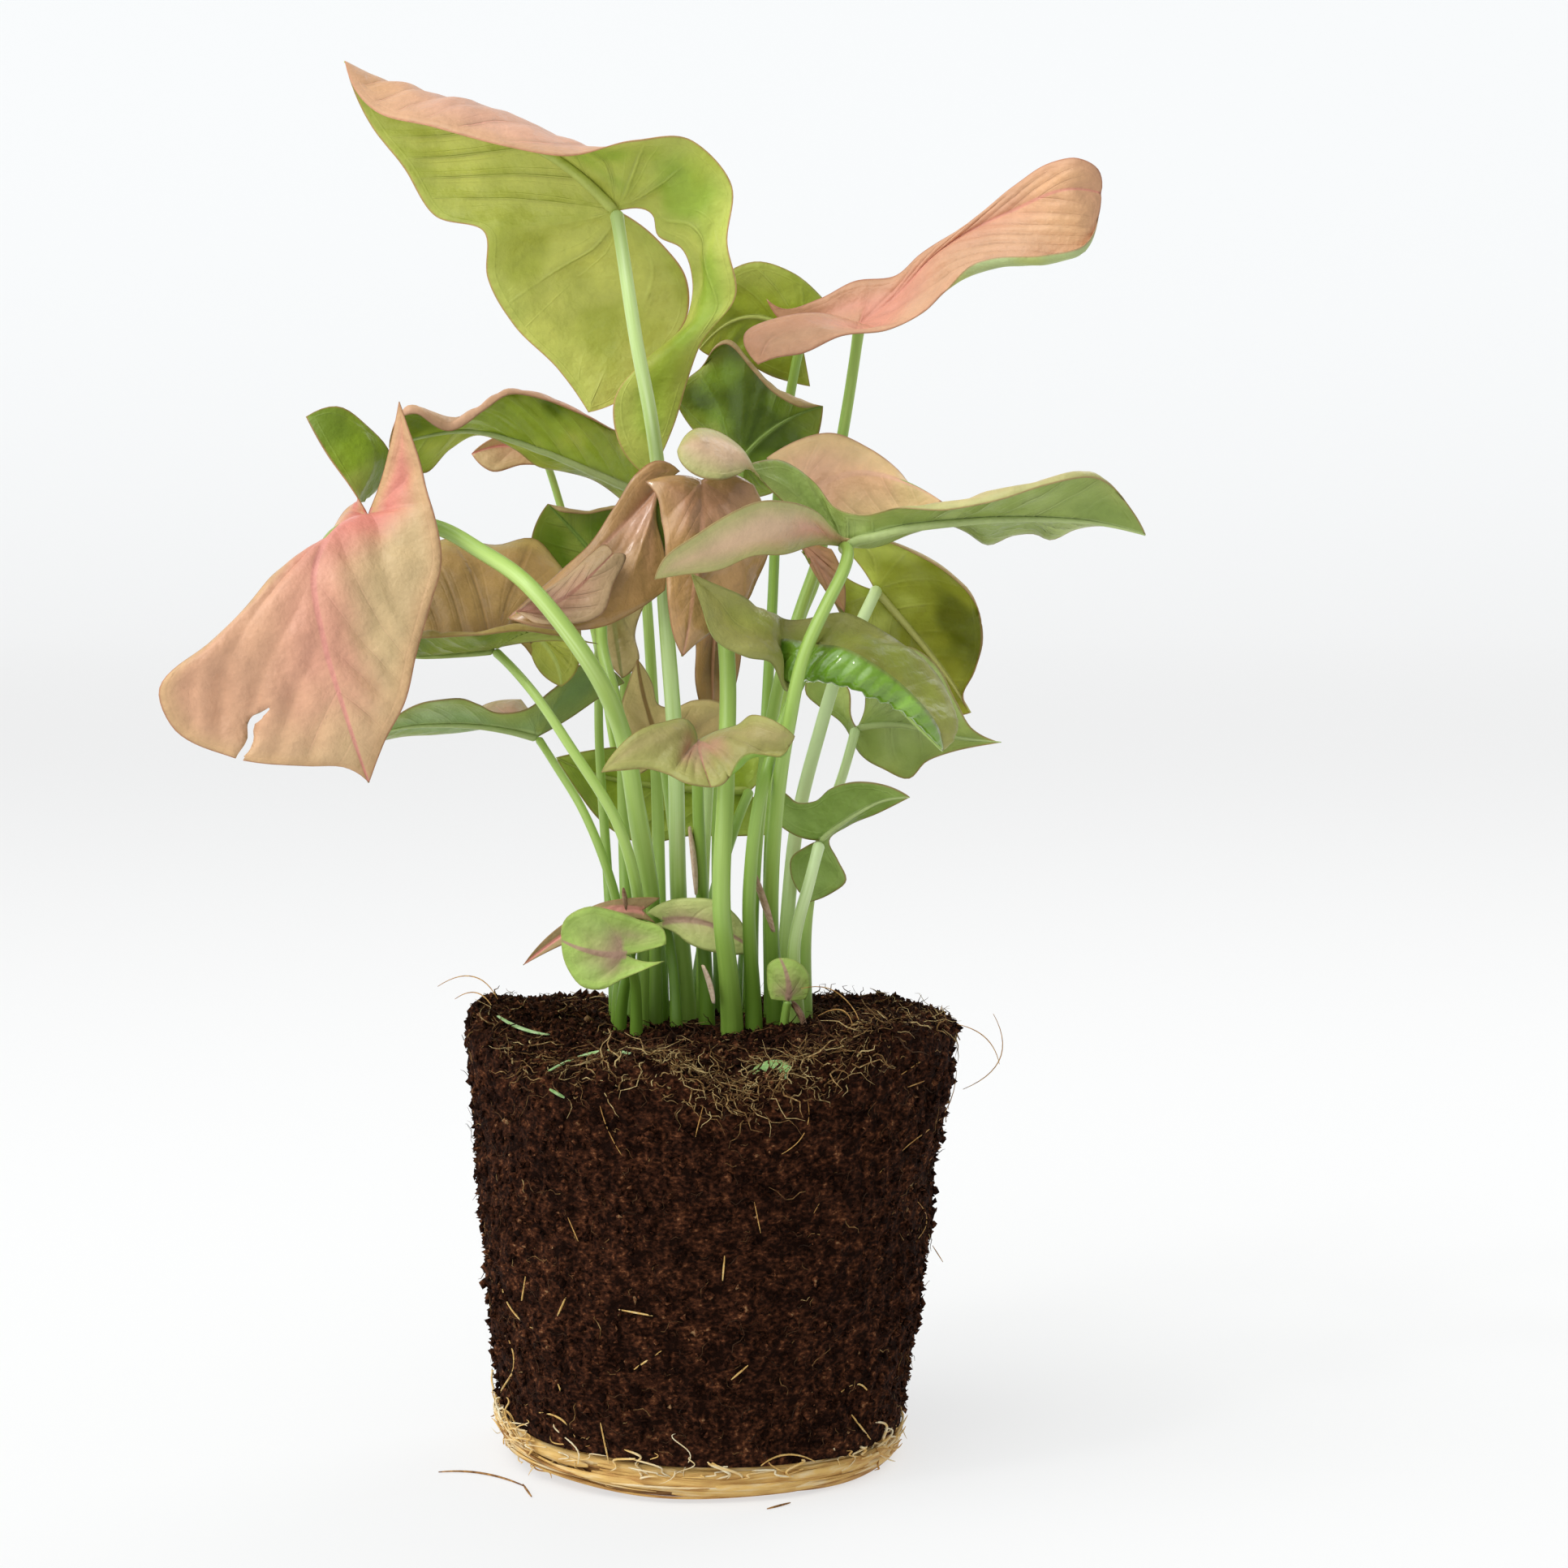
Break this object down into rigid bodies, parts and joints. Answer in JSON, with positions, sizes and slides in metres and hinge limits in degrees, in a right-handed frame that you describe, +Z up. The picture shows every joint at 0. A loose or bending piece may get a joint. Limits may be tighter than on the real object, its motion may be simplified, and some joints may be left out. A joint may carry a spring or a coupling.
{
  "type": "arrowhead plant",
  "caption": "Arrowhead plant with pink and green arrow-shaped leaves on long stalks, lifted out of its pot and standing on its bare root ball.",
  "frame": {"origin": "middle of the flat spot under the root mat, on the surface the plant stands on", "axes": "+Z up along the stalks, +X to the right and +Y away from the side the plant is seen from"},
  "size_m": [0.2201, 0.1383, 0.3256],
  "materials": {
    "leaf_pink": "satin",
    "leaf_blush": "satin",
    "leaf_green": "satin",
    "stalk_green": "satin",
    "peat": "matte",
    "roots": "matte"
  },
  "bodies": {
    "root": {"leaf_behind_left": "leaf_green", "leaf_behind_right": "leaf_green", "leaf_behind_stems": "leaf_green", "leaf_behind_top": "leaf_green", "leaf_brown_strip": "leaf_pink", "leaf_centre_hanging": "leaf_pink", "leaf_centre_left": "leaf_pink", "leaf_centre_low": "leaf_blush", "leaf_curled": "leaf_green", "leaf_dark_flap": "leaf_green", "leaf_far_left": "leaf_pink", "leaf_left_sprig": "leaf_pink", "leaf_low_centre": "leaf_blush", "leaf_low_dark": "leaf_green", "leaf_low_left": "leaf_green", "leaf_low_round": "leaf_blush", "leaf_lower_right": "leaf_green", "leaf_right_blush": "leaf_pink", "leaf_right_long": "leaf_green", "leaf_right_low": "leaf_green", "leaf_right_round": "leaf_green", "leaf_striped": "leaf_pink", "leaf_tiny": "leaf_blush", "leaf_top": "leaf_green", "leaf_upper_left": "leaf_green", "leaf_upper_right": "leaf_pink", "leaf_upright": "leaf_blush", "root_ball": "peat", "root_mat": "roots", "stalk_behind_left": "stalk_green", "stalk_behind_right": "stalk_green", "stalk_behind_stems": "stalk_green", "stalk_behind_top": "stalk_green", "stalk_brown_strip": "stalk_green", "stalk_centre_hanging": "stalk_green", "stalk_centre_left": "stalk_green", "stalk_centre_low": "stalk_green", "stalk_curled": "stalk_green", "stalk_dark_flap": "stalk_green", "stalk_far_left": "stalk_green", "stalk_left_sprig": "stalk_green", "stalk_low_centre": "stalk_green", "stalk_low_dark": "stalk_green", "stalk_low_left": "stalk_green", "stalk_low_round": "stalk_green", "stalk_lower_right": "stalk_green", "stalk_right_blush": "stalk_green", "stalk_right_long": "stalk_green", "stalk_right_low": "stalk_green", "stalk_right_round": "stalk_green", "stalk_striped": "stalk_green", "stalk_tiny": "stalk_green", "stalk_top": "stalk_green", "stalk_upper_left": "stalk_green", "stalk_upper_right": "stalk_green", "stalk_upright": "stalk_green"}
  },
  "joints": []
}
